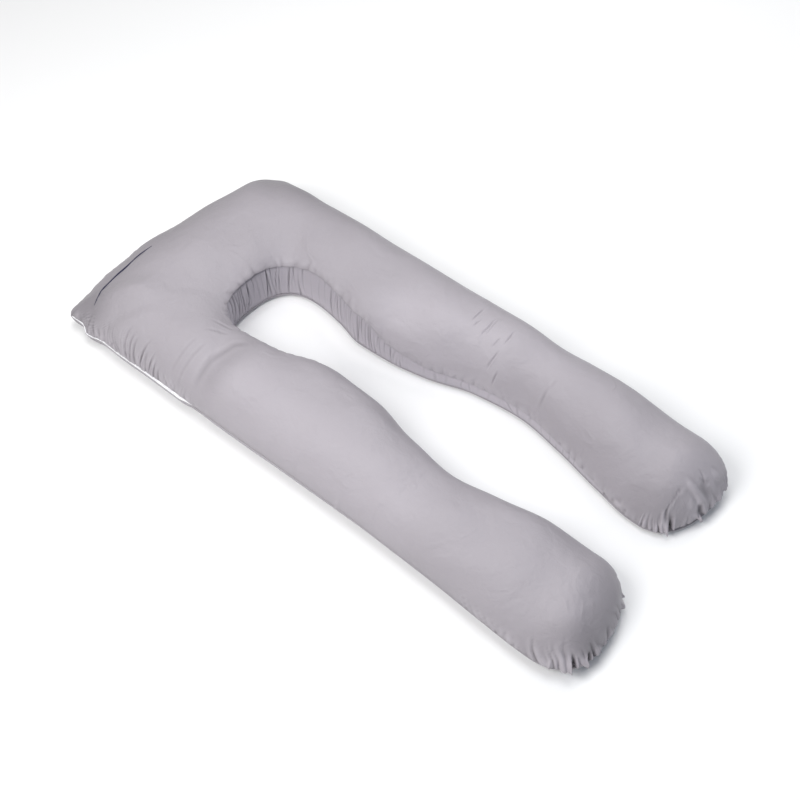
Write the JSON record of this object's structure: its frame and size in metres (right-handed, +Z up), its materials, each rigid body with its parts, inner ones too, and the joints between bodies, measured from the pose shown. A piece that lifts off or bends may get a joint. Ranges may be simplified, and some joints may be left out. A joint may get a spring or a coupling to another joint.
{
  "type": "body pillow",
  "caption": "U-shaped full-body pillow with a squared head end, contoured legs with gathered foot ends, a gathered inner side band and a zip let into the outer seam.",
  "frame": {"origin": "middle of the pillow's bounding box in plan, on the surface it lies on", "axes": "+X from the head end towards the foot ends of both legs, +Y towards the leg without the zip, +Z up, out of the crown"},
  "size_m": [1.4822, 0.6582, 0.17],
  "materials": {
    "pillow_cloth": "soft sheen",
    "band_cloth": "soft sheen",
    "zip_white": "satin",
    "tape_navy": "matte"
  },
  "bodies": {
    "root": {"pillow": "pillow_cloth", "inner_band": "band_cloth", "side_zip": "zip_white", "head_tape": "tape_navy"}
  },
  "joints": []
}
